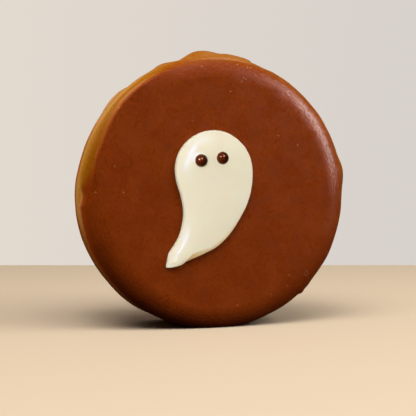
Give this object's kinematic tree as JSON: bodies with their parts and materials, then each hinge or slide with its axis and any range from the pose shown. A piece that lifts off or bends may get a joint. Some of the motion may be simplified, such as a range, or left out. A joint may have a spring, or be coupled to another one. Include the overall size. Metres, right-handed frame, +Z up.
{
  "type": "alfajor cookie",
  "caption": "Round sandwich cookie dipped in milk chocolate, standing on its rim, with a piped white icing figure and dark bead eyes on its flat face.",
  "frame": {"origin": "bottom centre of the whole cookie as it stands on its rim, on the surface that it stands on", "axes": "+Z up through the cookie's diameter, -Y out of the iced face, +X to the right as one looks at that face"},
  "size_m": [0.0647, 0.0208, 0.0653],
  "materials": {
    "milk_chocolate": "milk chocolate coating with a satin skin",
    "white_chocolate": "smooth, softly shining white chocolate icing",
    "dark_chocolate": "polished dark chocolate beads"
  },
  "bodies": {
    "root": {"coated_cookie": "milk_chocolate", "icing_ghost": "white_chocolate", "eye_left": "dark_chocolate", "eye_right": "dark_chocolate"}
  },
  "joints": []
}
